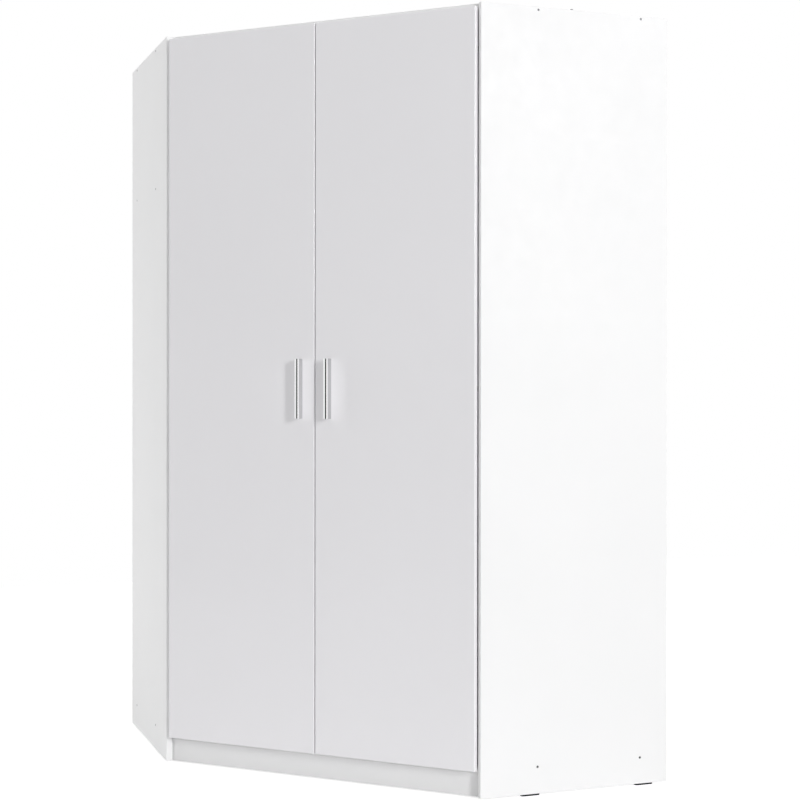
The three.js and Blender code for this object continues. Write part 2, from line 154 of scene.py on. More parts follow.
def blend(tree, kind, factor, first, second):
    """The first value where the factor is 0 and the second where it is 1."""
    start, end, result = MIX_SOCKETS[kind]
    mix = add_node(tree, "ShaderNodeMix", {0: factor, start: first, end: second}, data_type=kind)
    return mix.outputs[result]


def blend_colors(tree, factor, first, second):
    """A blend of two colours, each a socket or its red, green and blue."""
    colors = [c if isinstance(c, bpy.types.NodeSocket) else (*c, 1) for c in (first, second)]
    return blend(tree, "RGBA", factor, *colors)


def calculate(tree, operation, *values):
    """The result of a math node on one or two values."""
    return add_node(tree, "ShaderNodeMath", dict(enumerate(values)), operation=operation).outputs[0]


def dot_product(tree, value, way):
    dot = add_node(tree, "ShaderNodeVectorMath", {0: value, 1: tuple(way)}, operation="DOT_PRODUCT")
    return dot.outputs["Value"]


def faces(tree, way, limit):
    """1 where the surface looks along a direction, and 0 elsewhere."""
    normal = add_node(tree, "ShaderNodeTexCoord").outputs["Normal"]
    return calculate(tree, "GREATER_THAN", dot_product(tree, normal, way), limit)


def set_bump(tree, shader, height, distance, strength):
    inputs = {"Height": height, "Distance": distance, "Strength": strength}
    bump = add_node(tree, "ShaderNodeBump", inputs)
    tree.links.new(bump.outputs[0], shader.inputs["Normal"])


def mix_shaders(tree, factor, first, second):
    inputs = {0: factor, 1: first.outputs[0], 2: second.outputs[0]}
    return add_node(tree, "ShaderNodeMixShader", inputs).outputs[0]


# Materials: a noise is given as its scale and detail, and a bump as its depth in metres and its strength

# White melamine board
BOARD_COLORS = ((0.878, 0.879, 0.882), (0.894, 0.894, 0.897))
BOARD_ROUGHNESS = (0.46, 0.54)
BOARD_CLOUD = (3.0, 2.0)
BOARD_SATIN = (40.0, 2.0)
BOARD_PEARL = (1400.0, 3.0)
BOARD_BUMP = (0.00004, 0.5)


def melamine():
    """White melamine board: satin, with a fine pearl grain."""
    material, tree, shader = new_tree("melamine")
    places = object_places(tree)
    cloud = spread(tree, noise(tree, places, *BOARD_CLOUD), 0, 1)
    tree.links.new(blend_colors(tree, cloud, *BOARD_COLORS), shader.inputs["Base Color"])
    satin = noise(tree, places, *BOARD_SATIN)
    tree.links.new(spread(tree, satin, *BOARD_ROUGHNESS), shader.inputs["Roughness"])
    set_bump(tree, shader, noise(tree, places, *BOARD_PEARL), *BOARD_BUMP)
    return material


# Door foil
FOIL_COLORS = ((0.886, 0.878, 0.900), (0.898, 0.890, 0.912))
FOIL_ROUGHNESS = (0.05, 0.11)
FOIL_BACK_COLOR = (0.886, 0.886, 0.889)
FOIL_BACK_ROUGHNESS = 0.48
FOIL_BACK_LIMIT = 0.9
FOIL_CLOUD = (2.0, 2.0)
FOIL_WIPING = (1.0, 4.0)
FOIL_WIPING_STRETCH = (9, 9, 1.5)
FOIL_WAVES = (28.0, 1.0)
FOIL_BUMP = (0.00012, 0.6)


def gloss_foil():
    """White door foil: high gloss in front and on the edges, slightly wavy, and satin on the back."""
    material, tree, shader = new_tree("gloss_foil")
    places = object_places(tree)
    behind = faces(tree, INTO, FOIL_BACK_LIMIT)
    cloud = spread(tree, noise(tree, places, *FOIL_CLOUD), 0, 1)
    glossy = blend_colors(tree, cloud, *FOIL_COLORS)
    color = blend_colors(tree, behind, glossy, FOIL_BACK_COLOR)
    tree.links.new(color, shader.inputs["Base Color"])
    wiping = noise(tree, object_places(tree, FOIL_WIPING_STRETCH), *FOIL_WIPING)
    wiped = spread(tree, wiping, *FOIL_ROUGHNESS)
    roughness = blend(tree, "FLOAT", behind, wiped, FOIL_BACK_ROUGHNESS)
    tree.links.new(roughness, shader.inputs["Roughness"])
    set_bump(tree, shader, noise(tree, places, *FOIL_WAVES), *FOIL_BUMP)
    return material


# Back sheets
SHEET_WHITES = ((0.84, 0.84, 0.83), (0.87, 0.87, 0.86))
SHEET_BROWNS = ((0.30, 0.19, 0.11), (0.42, 0.29, 0.18))
SHEET_ROUGHNESS = (0.55, 0.75)
SHEET_OUTSIDE_LIMIT = 0.5
SHEET_CLOUD = (6.0, 4.0)
SHEET_FIBRE = (420.0, 5.0)
SHEET_FIBRE_STRETCH = (1, 1, 0.35)
SHEET_BUMP = (0.00008, 0.6)


def hardboard():
    """Thin back sheets: printed white on the inside, bare brown fibre on the outside."""
    material, tree, shader = new_tree("hardboard")
    fibre = noise(tree, object_places(tree, SHEET_FIBRE_STRETCH), *SHEET_FIBRE)
    cloud = spread(tree, noise(tree, object_places(tree), *SHEET_CLOUD), 0, 1)
    white = blend_colors(tree, cloud, *SHEET_WHITES)
    brown = blend_colors(tree, spread(tree, fibre, 0, 1), *SHEET_BROWNS)
    color = blend_colors(tree, faces(tree, INTO, SHEET_OUTSIDE_LIMIT), white, brown)
    tree.links.new(color, shader.inputs["Base Color"])
    tree.links.new(spread(tree, fibre, *SHEET_ROUGHNESS), shader.inputs["Roughness"])
    set_bump(tree, shader, fibre, *SHEET_BUMP)
    return material


# Plastics
PLASTIC_CLOUD = (30.0, 2.0)
PLASTIC_SATIN = (200.0, 2.0)
PLASTIC_GRAIN = (2200.0, 3.0)
PLASTIC_BUMP = (0.00005, 0.5)


def moulded_plastic(name, dark, light, roughness, sheen=0.5):
    """Plastic with a faint cloud and the fine grain of its mould."""
    material, tree, shader = new_tree(name)
    shader.inputs["Specular IOR Level"].default_value = sheen
    places = object_places(tree)
    cloud = spread(tree, noise(tree, places, *PLASTIC_CLOUD), 0, 1)
    tree.links.new(blend_colors(tree, cloud, dark, light), shader.inputs["Base Color"])
    satin = noise(tree, places, *PLASTIC_SATIN)
    tree.links.new(spread(tree, satin, *roughness), shader.inputs["Roughness"])
    set_bump(tree, shader, noise(tree, places, *PLASTIC_GRAIN), *PLASTIC_BUMP)
    return material


# Metals
METAL_DETAIL = 4.0
METAL_BUMP = (0.00002, 0.4)


def metal(name, dark, light, roughness, grain, stretch=(1, 1, 1), rim=1.0):
    """Bare or plated metal: stretch is small along its fine marks, and a low rim dulls grazing shine."""
    material, tree, shader = new_tree(name)
    marks = noise(tree, object_places(tree, stretch), grain, METAL_DETAIL)
    color = blend_colors(tree, spread(tree, marks, 0, 1), dark, light)
    tree.links.new(color, shader.inputs["Base Color"])
    tree.links.new(spread(tree, marks, *roughness), shader.inputs["Roughness"])
    shader.inputs["Metallic"].default_value = 1.0
    shader.inputs["Specular Tint"].default_value = (rim, rim, rim, 1)
    set_bump(tree, shader, marks, *METAL_BUMP)
    return material


# Handle metal
# Painted shade: the sides are the handle metal coloured darker than the front lands
HANDLE_SHADED_SIDE_COLORS = ((0.57, 0.57, 0.58), (0.67, 0.67, 0.68))
HANDLE_FRONT_COLORS = ((0.86, 0.86, 0.865), (0.92, 0.92, 0.925))
# Painted shade: a near-black colour in the handles' grooves, where shade falls
HANDLE_GROOVE_SHADE_COLOR = (0.03, 0.03, 0.032)
HANDLE_ROUGHNESS = (0.08, 0.16)
HANDLE_LAND_LIMIT = 0.7
HANDLE_MARKS = (1600.0, 4.0)
HANDLE_MARKS_STRETCH = (1, 1, 0.02)
HANDLE_BUMP = (0.00001, 0.3)
HANDLE_GROOVE_LIP = 0.0004
HANDLE_GROOVE_REACH = 0.006


def polished_handle():
    """Handle metal: polished lands on its front, sides of the same metal painted darker as shade, and painted
    shade in the groove between them.
    """
    material, tree, shader = new_tree("handle_metal")
    marks = spread(tree, noise(tree, object_places(tree, HANDLE_MARKS_STRETCH), *HANDLE_MARKS), 0, 1)
    side = blend_colors(tree, marks, *HANDLE_SHADED_SIDE_COLORS)
    front = blend_colors(tree, marks, *HANDLE_FRONT_COLORS)
    # Faces that don't look out get the darker side colour, a painted shade
    bare = blend_colors(tree, faces(tree, OUTWARD, HANDLE_LAND_LIMIT), side, front)
    # The grooves are painted near black as shade
    color = blend_colors(tree, groove_shade_mask(tree), bare, HANDLE_GROOVE_SHADE_COLOR)
    tree.links.new(color, shader.inputs["Base Color"])
    tree.links.new(spread(tree, marks, *HANDLE_ROUGHNESS), shader.inputs["Roughness"])
    shader.inputs["Metallic"].default_value = 1.0
    set_bump(tree, shader, marks, *HANDLE_BUMP)
    return material


def groove_shade_mask(tree):
    """1 in the grooves of both handles, where shade is painted: near a handle's middle and behind its front.
    """
    front = span("handle_left", OUTWARD)[1]
    centre = abs(middle("handle_left", ALONG))
    deepest, lip = front - HANDLE_GROOVE_REACH, front - HANDLE_GROOVE_LIP
    floor = span("handle_left", ALONG, lambda corner: deepest < corner.dot(OUTWARD) < lip)
    half = (floor[1] - floor[0]) / 2 + HANDLE_GROOVE_LIP / 2
    places = add_node(tree, "ShaderNodeTexCoord").outputs["Object"]
    along = calculate(tree, "ABSOLUTE", dot_product(tree, places, ALONG))
    offset = calculate(tree, "ABSOLUTE", calculate(tree, "SUBTRACT", along, centre))
    narrow = calculate(tree, "LESS_THAN", offset, half)
    sunk = calculate(tree, "LESS_THAN", dot_product(tree, places, OUTWARD), lip)
    return calculate(tree, "MULTIPLY", narrow, sunk)


board = melamine()
gloss = gloss_foil()
backing = hardboard()
handle_metal = polished_handle()
white_plastic = moulded_plastic(
    "white_plastic",
    dark=(0.85, 0.85, 0.845),
    light=(0.88, 0.88, 0.875),
    roughness=(0.4, 0.5),
)
black_plastic = moulded_plastic(
    "black_plastic",
    dark=(0.007, 0.007, 0.008),
    light=(0.013, 0.013, 0.014),
    roughness=(0.5, 0.6),
    sheen=0.15,
)
rail_metal = metal(
    "rail_metal",
    dark=(0.62, 0.62, 0.63),
    light=(0.74, 0.74, 0.75),
    roughness=(0.20, 0.32),
    grain=1600.0,
    stretch=(1, 0.02, 1),
)
nickel = metal(
    "nickel",
    dark=(0.60, 0.59, 0.57),
    light=(0.70, 0.69, 0.67),
    roughness=(0.18, 0.30),
    grain=300.0,
)
zinc = metal(
    "zinc",
    dark=(0.24, 0.24, 0.25),
    light=(0.34, 0.34, 0.35),
    roughness=(0.30, 0.45),
    grain=700.0,
    rim=0.08,
)
socket_steel = metal(
    "socket_steel",
    dark=(0.04, 0.04, 0.042),
    light=(0.07, 0.07, 0.072),
    roughness=(0.45, 0.6),
    grain=700.0,
    rim=0.3,
)

SLOT_MATERIALS = {
    "white_board": board,
    "gloss_front": gloss,
    "back_sheet": backing,
    "white_plastic": white_plastic,
    "black_plastic": black_plastic,
    "aluminium": handle_metal,
    "bright_steel": nickel,
    "screw_steel": zinc,
}

# Nodes that look unlike the rest of their slot, by the first word of their names
NODE_MATERIALS = {"clothes": rail_metal, "screw": socket_steel}


# CAD nodes: a material for each, and softened edges
BOARD_BEVEL = 0.0006
DOOR_BEVEL = 0.0003
METAL_BEVEL = 0.0003
BEVEL_SEGMENTS = 2
BEVEL_ANGLE = math.radians(50)
SMOOTH_ANGLE = math.radians(38)
WELD_DISTANCE = 0.00001
LARGE_FACE_WEIGHT = 100


def bevel_of(slot):
    if slot == "gloss_front":
        return DOOR_BEVEL
    return BOARD_BEVEL if slot in ("white_board", "white_plastic") else METAL_BEVEL


def soften(piece, width):
    """Welds the mesh, rounds its sharp edges and shades the rest smooth."""
    mesh = piece.data
    if mesh.has_custom_normals:
        mesh.attributes.remove(mesh.attributes["custom_normal"])
    mesh.polygons.foreach_set("use_smooth", [True] * len(mesh.polygons))
    weld = piece.modifiers.new("weld", "WELD")
    weld.merge_threshold = WELD_DISTANCE
    bevel = piece.modifiers.new("bevel", "BEVEL")
    bevel.width = width
    bevel.segments = BEVEL_SEGMENTS
    bevel.limit_method = "ANGLE"
    bevel.angle_limit = BEVEL_ANGLE
    keep_sharp(piece)


def keep_sharp(piece):
    """Splits sharp edges and weighs normals by area, so that large faces stay flat."""
    split = piece.modifiers.new("split", "EDGE_SPLIT")
    split.split_angle = SMOOTH_ANGLE
    weigh = piece.modifiers.new("weigh", "WEIGHTED_NORMAL")
    weigh.weight = LARGE_FACE_WEIGHT


def slot_of(node):
    """The record's slot for a CAD node."""
    rows = frame["record"]["subparts"]
    return next(row["material_slot"] for row in rows if row["node"] == node)


def dress_nodes():
    for name, node in nodes.items():
        slot = slot_of(name)
        material = NODE_MATERIALS.get(name.split("_")[0], SLOT_MATERIALS[slot])
        node.data.materials.clear()
        node.data.materials.append(material)
        soften(node, bevel_of(slot))


# Mesh helpers
ROUND_STEPS = 24


def circle(radius, count=ROUND_STEPS):
    turns = [2 * math.pi * i / count for i in range(count)]
    return [(radius * math.cos(t), radius * math.sin(t)) for t in turns]


def oval(length, width, count=ROUND_STEPS // 2):
    """The outline of a slot, long along X, with a number of steps round each end."""
    shift, radius = (length - width) / 2, width / 2
    turns = [math.pi * (i / count - 0.5) for i in range(count + 1)]
    right = [(shift + radius * math.cos(t), radius * math.sin(t)) for t in turns]
    return right + [(-x, -y) for x, y in right]


def cross(arm, half_width):
    """The outline of a cross-shaped recess."""
    quarter = [(arm, -half_width), (arm, half_width), (half_width, half_width)]
    points = []
    for turn in range(4):
        c, s = round(math.cos(turn * math.pi / 2)), round(math.sin(turn * math.pi / 2))
        points += [(c * x - s * y, s * x + c * y) for x, y in quarter]
    return points


def ring(mesh, outline, height):
    return [mesh.verts.new((x, y, height)) for x, y in outline]


def bridge(mesh, lower, upper):
    for i, corner in enumerate(lower):
        j = (i + 1) % len(lower)
        mesh.faces.new((corner, lower[j], upper[j], upper[i]))


def stacked(layers):
    """A closed body from (outline, height) layers, bottom first, whose outlines have equally many corners."""
    mesh = bmesh.new()
    rings = [ring(mesh, outline, height) for outline, height in layers]
    mesh.faces.new(list(reversed(rings[0])))
    for lower, upper in zip(rings, rings[1:]):
        bridge(mesh, lower, upper)
    mesh.faces.new(rings[-1])
    return mesh


def turned(profile, count=ROUND_STEPS):
    """A closed body of revolution from (radius, height) points, from its bottom to its top."""
    return stacked([(circle(radius, count), height) for radius, height in profile])


def fill_between(mesh, outer, inner):
    """The flat face between two closed loops of corners."""
    rims = []
    for loop in (outer, inner):
        for i, corner in enumerate(loop):
            pair = (corner, loop[(i + 1) % len(loop)])
            rims.append(mesh.edges.get(pair) or mesh.edges.new(pair))
    bmesh.ops.triangle_fill(mesh, edges=rims, normal=UP, use_beauty=True)


# Screw heads: the shoulder's share of the height, the crown's of the radius and the floor's of the recess
HEAD_SHOULDER_SHARE = 0.55
HEAD_CROWN_SHARE = 0.86
RECESS_FLOOR_SHARE = 0.8


def screw_head(radius, height, recess, depth):
    """A rounded screw head on z = 0 with a recess in its top, or a hole right through where it is deep."""
    through = depth >= height
    share = 1 if through else RECESS_FLOOR_SHARE
    mesh = bmesh.new()
    base = ring(mesh, circle(radius), 0)
    shoulder = ring(mesh, circle(radius), height * HEAD_SHOULDER_SHARE)
    crown = ring(mesh, circle(radius * HEAD_CROWN_SHARE), height)
    mouth = ring(mesh, recess, height)
    floor = ring(mesh, [(x * share, y * share) for x, y in recess], max(0, height - depth))
    bridge(mesh, base, shoulder)
    bridge(mesh, shoulder, crown)
    bridge(mesh, mouth, floor)
    fill_between(mesh, crown, mouth)
    if through:
        fill_between(mesh, base, floor)
    else:
        mesh.faces.new(list(reversed(base)))
        mesh.faces.new(floor)
    bmesh.ops.recalc_face_normals(mesh, faces=mesh.faces)
    return mesh


def finish_mesh(mesh, name, material):
    data = bpy.data.meshes.new(name)
    mesh.to_mesh(data)
    mesh.free()
    data.polygons.foreach_set("use_smooth", [True] * len(data.polygons))
    data.materials.append(material)
    return data


def aim(axis):
    """The turn that takes +Z to the axis, and takes +Y up where the axis is level."""
    z = Vector(axis).normalized()
    level = abs(z.z) < z.xy.length
    y = UP if level else Y_AXIS
    x = y.cross(z).normalized()
    return Matrix((x, z.cross(x), z)).transposed().to_4x4()


def add_piece(name, data, place, axis, body, turn=0.0):
    """A piece whose mesh is put in place, its own +Z along the axis, and which rides on a body."""
    data = data.copy()
    data.transform(Matrix.Translation(place) @ aim(axis) @ Matrix.Rotation(turn, 4, "Z"))
    piece = bpy.data.objects.new(name, data)
    bpy.context.scene.collection.objects.link(piece)
    keep_sharp(piece)
    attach(piece, body)
    return piece


# Rims with a six-sided hole that bring the side panels' screw heads level with the panels
SCREW_RIM_OVERLAP = 0.0002
SCREW_HEX_RADIUS = 0.0021
HEX_SIDES = 6


def add_screw_rim(node, outer, face):
    """A rim on a screw's seat, as high as the panel's face."""
    seat = span(node, outer)[1]
    low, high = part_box(node)
    centre = (low + high) / 2
    radius = (high.z - low.z) / 2 + SCREW_RIM_OVERLAP
    mesh = screw_head(radius, face - seat, circle(SCREW_HEX_RADIUS, HEX_SIDES), face - seat)
    data = finish_mesh(mesh, f"{node}_rim", zinc)
    place = centre + outer * (seat - centre.dot(outer))
    add_piece(f"{node}_rim", data, place, outer, "carcass")


def add_screw_rims():
    for side in SIDES:
        outer = -PANEL_WAYS[side][0]
        face = span(f"side_panel_{side}", outer)[1]
        for node in nodes:
            if node.startswith(f"screw_{side}_"):
                add_screw_rim(node, outer, face)


# Glides under the left panel, so narrow that the panel hides them as it does in the photograph
LEFT_GLIDE_WIDTH = 0.008
GLIDE_ROUNDING = 0.0006


def add_left_glides():
    for node in ("glide_left_front", "glide_left_rear"):
        low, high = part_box(node)
        length = high.x - low.x
        foot = oval(length - 2 * GLIDE_ROUNDING, LEFT_GLIDE_WIDTH - 2 * GLIDE_ROUNDING)
        side = oval(length, LEFT_GLIDE_WIDTH)
        mesh = stacked([(foot, 0), (side, GLIDE_ROUNDING), (side, high.z - low.z)])
        data = finish_mesh(mesh, f"{node}_pad", black_plastic)
        place = ((low.x + high.x) / 2, (low.y + high.y) / 2, low.z)
        pad = add_piece(f"{node}_pad", data, place, UP, "carcass")
        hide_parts(node)


# Shelf pins, just under the shelves
SHELF_PIN_RADIUS = 0.0024
SHELF_PIN_HOLE_RADIUS = 0.0025
SHELF_PIN_DEPTH = 0.0095
SHELF_PIN_REACH = 0.008
SHELF_PIN_INSET = 0.045
SHELF_PIN_COLLAR_RADIUS = 0.004
SHELF_PIN_COLLAR_GAP = 0.0001
SHELF_PIN_COLLAR = 0.0005
SHELF_PIN_ROUNDING = 0.0008
SHELVES = (1, 2, 3, 4)


def shelf_pin():
    """A pin along Z with a collar that rests on the board's face, which is z = 0."""
    tip = SHELF_PIN_RADIUS - SHELF_PIN_ROUNDING
    profile = [
        (tip, -SHELF_PIN_DEPTH),
        (SHELF_PIN_RADIUS, SHELF_PIN_ROUNDING - SHELF_PIN_DEPTH),
        (SHELF_PIN_RADIUS, SHELF_PIN_COLLAR_GAP),
        (SHELF_PIN_COLLAR_RADIUS, SHELF_PIN_COLLAR_GAP),
        (SHELF_PIN_COLLAR_RADIUS, SHELF_PIN_COLLAR),
        (SHELF_PIN_RADIUS, SHELF_PIN_COLLAR),
        (SHELF_PIN_RADIUS, SHELF_PIN_REACH - SHELF_PIN_ROUNDING),
        (tip, SHELF_PIN_REACH),
    ]
    return finish_mesh(turned(profile), "shelf_pin", nickel)


def add_shelf_pins():
    data = shelf_pin()
    walls = (
        ("partition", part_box("partition")[1].x, X_AXIS),
        ("panel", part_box("side_panel_right")[0].x, -X_AXIS),
    )
    for i in SHELVES:
        low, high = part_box(f"shelf_{i}")
        z = low.z - SHELF_PIN_HOLE_RADIUS
        for end, y in (("front", low.y + SHELF_PIN_INSET), ("rear", high.y - SHELF_PIN_INSET)):
            for wall, x, way in walls:
                name = f"shelf_pin_{i}_{wall}_{end}"
                add_piece(name, data, (x, y, z), way, "carcass")


# Hinge screws: two through each plate, two through each cup's flange, two in each arm
PLATE_THICKNESS = 0.0025
PLATE_SCREW_OFFSET = 0.016
CUP_SCREW_OFFSET = 0.024
ARM_SCREW_INSETS = (0.010, 0.030)
HINGE_SCREW_RADIUS = 0.0037
HINGE_SCREW_HEIGHT = 0.0014
HINGE_RECESS_ARM = 0.0019
HINGE_RECESS_HALF = 0.0005
HINGE_RECESS_DEPTH = 0.001

# How far the screws' recesses are turned, in radians
SCREW_TURNS = (0.3, 1.1, 0.7, 0.1)


def hinge_screw():
    recess = cross(HINGE_RECESS_ARM, HINGE_RECESS_HALF)
    mesh = screw_head(HINGE_SCREW_RADIUS, HINGE_SCREW_HEIGHT, recess, HINGE_RECESS_DEPTH)
    return finish_mesh(mesh, "hinge_screw", nickel)


def screw_turn(number):
    return SCREW_TURNS[number % len(SCREW_TURNS)]


def add_plate_screws(data, side, i):
    off, forward = PANEL_WAYS[side]
    plate = f"hinge_plate_{side}_{i}"
    seat = off * (span(plate, off)[0] + PLATE_THICKNESS) + forward * middle(plate, forward)
    for end, sign in SCREW_PAIR:
        place = seat + UP * (middle(plate, UP) + sign * PLATE_SCREW_OFFSET)
        name = f"plate_screw_{side}_{i}_{end}"
        add_piece(name, data, place, off, "carcass", screw_turn(i + sign))


def add_cup_screws(data, side, i):
    cup = f"hinge_cup_{side}_{i}"
    seat = INTO * span(cup, INTO)[1] + ALONG * middle(cup, ALONG)
    for end, sign in SCREW_PAIR:
        place = seat + UP * (middle(cup, UP) + sign * CUP_SCREW_OFFSET)
        name = f"cup_screw_{side}_{i}_{end}"
        add_piece(name, data, place, INTO, f"{side}_door", screw_turn(i + sign + 1))


def add_arm_screws(data, side, i):
    off, forward = PANEL_WAYS[side]
    rear, front = span(f"hinge_plate_{side}_{i}", forward)
    arm = f"hinge_arm_{side}_{i}"
    top = span(arm, off, lambda corner: rear < corner.dot(forward) < front)[1]
    for number, inset in enumerate(ARM_SCREW_INSETS):
        place = off * top + forward * (front - inset) + UP * middle(arm, UP)
        name = f"arm_screw_{side}_{i}_{number + 1}"
        add_piece(name, data, place, off, "carcass", screw_turn(i + number + 2))


def add_hinge_screws():
    data = hinge_screw()
    for side in SIDES:
        for i in HINGES:
            add_plate_screws(data, side, i)
            add_cup_screws(data, side, i)
            add_arm_screws(data, side, i)


# Handle screws, with their heads on the doors' backs
HANDLE_SCREW_OFFSET = 0.064
HANDLE_SCREW_RADIUS = 0.0042
HANDLE_SCREW_HEIGHT = 0.0022
HANDLE_RECESS_ARM = 0.0022
HANDLE_RECESS_HALF = 0.0006
HANDLE_RECESS_DEPTH = 0.0015


def add_handle_screws():
    """The upper and lower recesses are turned opposite ways, by one radian."""
    recess = cross(HANDLE_RECESS_ARM, HANDLE_RECESS_HALF)
    mesh = screw_head(HANDLE_SCREW_RADIUS, HANDLE_SCREW_HEIGHT, recess, HANDLE_RECESS_DEPTH)
    data = finish_mesh(mesh, "handle_screw", zinc)
    for side in SIDES:
        handle = f"handle_{side}"
        seat = INTO * span(f"door_{side}", INTO)[1] + ALONG * middle(handle, ALONG)
        for end, sign in SCREW_PAIR:
            place = seat + UP * (middle(handle, UP) + sign * HANDLE_SCREW_OFFSET)
            name = f"handle_screw_{side}_{end}"
            add_piece(name, data, place, INTO, f"{side}_door", sign)


# Screws in the foot of the rail's hanger
RAIL_FOOT_THICKNESS = 0.003
RAIL_SCREW_INSET = 0.010


def add_rail_screws():
    """Each screw's place in metres serves as its turn in radians too, so that the two differ."""
    data = hinge_screw()
    low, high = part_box("rail_hanger")
    x = (low.x + high.x) / 2
    z = high.z - RAIL_FOOT_THICKNESS
    for end, y in (("front", low.y + RAIL_SCREW_INSET), ("rear", high.y - RAIL_SCREW_INSET)):
        add_piece(f"rail_screw_{end}", data, (x, y, z), -UP, "carcass", y)


# Plastic angle brackets between the plinth and the bottom board
BRACKET_LEG = 0.030
BRACKET_WIDTH = 0.024
BRACKET_THICKNESS = 0.0025
BRACKET_GAP = 0.0003
BRACKET_PLACE_SHARES = (-0.72, 0.0, 0.72)
BRACKET_SCREW_SHARE = 0.55


def bracket_mesh():
    """Legs along +X and -Z from its corner, with a web on each end; its width lies along Y."""
    mesh = bmesh.new()
    leg, wall, half = BRACKET_LEG, BRACKET_THICKNESS, BRACKET_WIDTH / 2
    angle = [(0, 0), (leg, 0), (leg, -wall), (wall, -wall), (wall, -leg), (0, -leg)]
    web = [(wall, -wall), (leg - wall, -wall), (wall, wall - leg)]
    for outline, start, end in ((angle, -half, half), (web, -half, wall - half), (web, half - wall, half)):
        near = [mesh.verts.new((x, start, z)) for x, z in outline]
        far = [mesh.verts.new((x, end, z)) for x, z in outline]
        mesh.faces.new(near)
        mesh.faces.new(list(reversed(far)))
        bridge(mesh, far, near)
    bmesh.ops.recalc_face_normals(mesh, faces=mesh.faces)
    return mesh


def add_brackets():
    data = finish_mesh(bracket_mesh(), "plinth_bracket", white_plastic)
    data.transform(Matrix.Rotation(math.atan2(INTO.y, INTO.x), 4, "Z"))
    screw = hinge_screw()
    low, high = span("plinth", ALONG)
    corner_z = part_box("bottom_board")[0].z - BRACKET_GAP
    face = span("plinth", INTO)[1] + BRACKET_GAP
    reach = BRACKET_LEG * BRACKET_SCREW_SHARE
    for number, share in enumerate(BRACKET_PLACE_SHARES, start=1):
        along = (low + high) / 2 + share * (high - low) / 2
        place = INTO * face + ALONG * along + UP * corner_z
        upper = place + INTO * reach - UP * BRACKET_THICKNESS
        lower = place + INTO * BRACKET_THICKNESS - UP * reach
        add_piece(f"plinth_bracket_{number}", data, place, UP, "carcass")
        add_piece(f"bracket_screw_{number}_board", screw, upper, -UP, "carcass")
        add_piece(f"bracket_screw_{number}_plinth", screw, lower, INTO, "carcass")


# Blocks that join the plinth's ends to the side panels, each with a nose that fills the crack there
BLOCK_LEG = 0.030
BLOCK_GAP = 0.0003
BLOCK_ROUNDING = 0.0003
BLOCK_NOSE_SETBACK = 0.0018


def meet(first, first_place, second, second_place):
    """The level point at a given place along each of two directions."""
    rows = Matrix((first.xy, second.xy))
    return rows.inverted() @ Vector((first_place, second_place))


def block_outline(side, inward):
    """A block's corners seen from above, from its nose between the panel and the plinth's end."""
    off, forward = PANEL_WAYS[side]
    nose, back = span("plinth", INTO)
    nose, back = nose + BLOCK_NOSE_SETBACK, back + BLOCK_GAP
    panel = span(f"side_panel_{side}", off)[1] + BLOCK_GAP
    end = span("plinth", inward)[0] - BLOCK_GAP
    shoulder = meet(INTO, back, inward, end)
    return [
        meet(INTO, nose, off, panel),
        meet(INTO, nose, inward, end),
        shoulder,
        shoulder + inward.xy * BLOCK_LEG,
        meet(INTO, back, off, panel) - forward.xy * BLOCK_LEG,
    ]


def add_plinth_blocks():
    for side, inward in (("left", ALONG), ("right", -ALONG)):
        outline = block_outline(side, inward)
        mesh = stacked([(outline, height) for height in span("plinth", UP)])
        bmesh.ops.recalc_face_normals(mesh, faces=mesh.faces)
        bevel = {"offset": BLOCK_ROUNDING, "segments": BEVEL_SEGMENTS, "affect": "EDGES"}
        bmesh.ops.bevel(mesh, geom=mesh.edges[:], **bevel)
        name = f"plinth_block_{side}"
        add_piece(name, finish_mesh(mesh, name, board), (0, 0, 0), UP, "carcass")


# Nails that hold the back sheets to the boards' rear edges
NAIL_RADIUS = 0.0024
NAIL_HEIGHT = 0.0008
NAIL_SIDES = 12
NAIL_PITCH = 0.11
NAIL_INSET = 0.03


def nail():
    dome = [(NAIL_RADIUS, 0), (NAIL_RADIUS, NAIL_HEIGHT / 2), (NAIL_RADIUS / 2, NAIL_HEIGHT)]
    return finish_mesh(turned(dome, NAIL_SIDES), "nail", zinc)


def nail_row(start, end):
    """Evenly spaced places from start to end."""
    start, end = Vector(start), Vector(end)
    count = max(2, round((end - start).length / NAIL_PITCH) + 1)
    return [start.lerp(end, i / (count - 1)) for i in range(count)]


def drive_nails(sheet, data, rows, axis):
    """All nails of one back sheet as one piece."""
    mesh = bmesh.new()
    for place in [place for row in rows for place in row]:
        one = data.copy()
        one.transform(Matrix.Translation(place) @ aim(axis))
        mesh.from_mesh(one)
    joined = finish_mesh(mesh, f"nails_{sheet}", zinc)
    add_piece(f"nails_{sheet}", joined, (0, 0, 0), UP, "carcass")


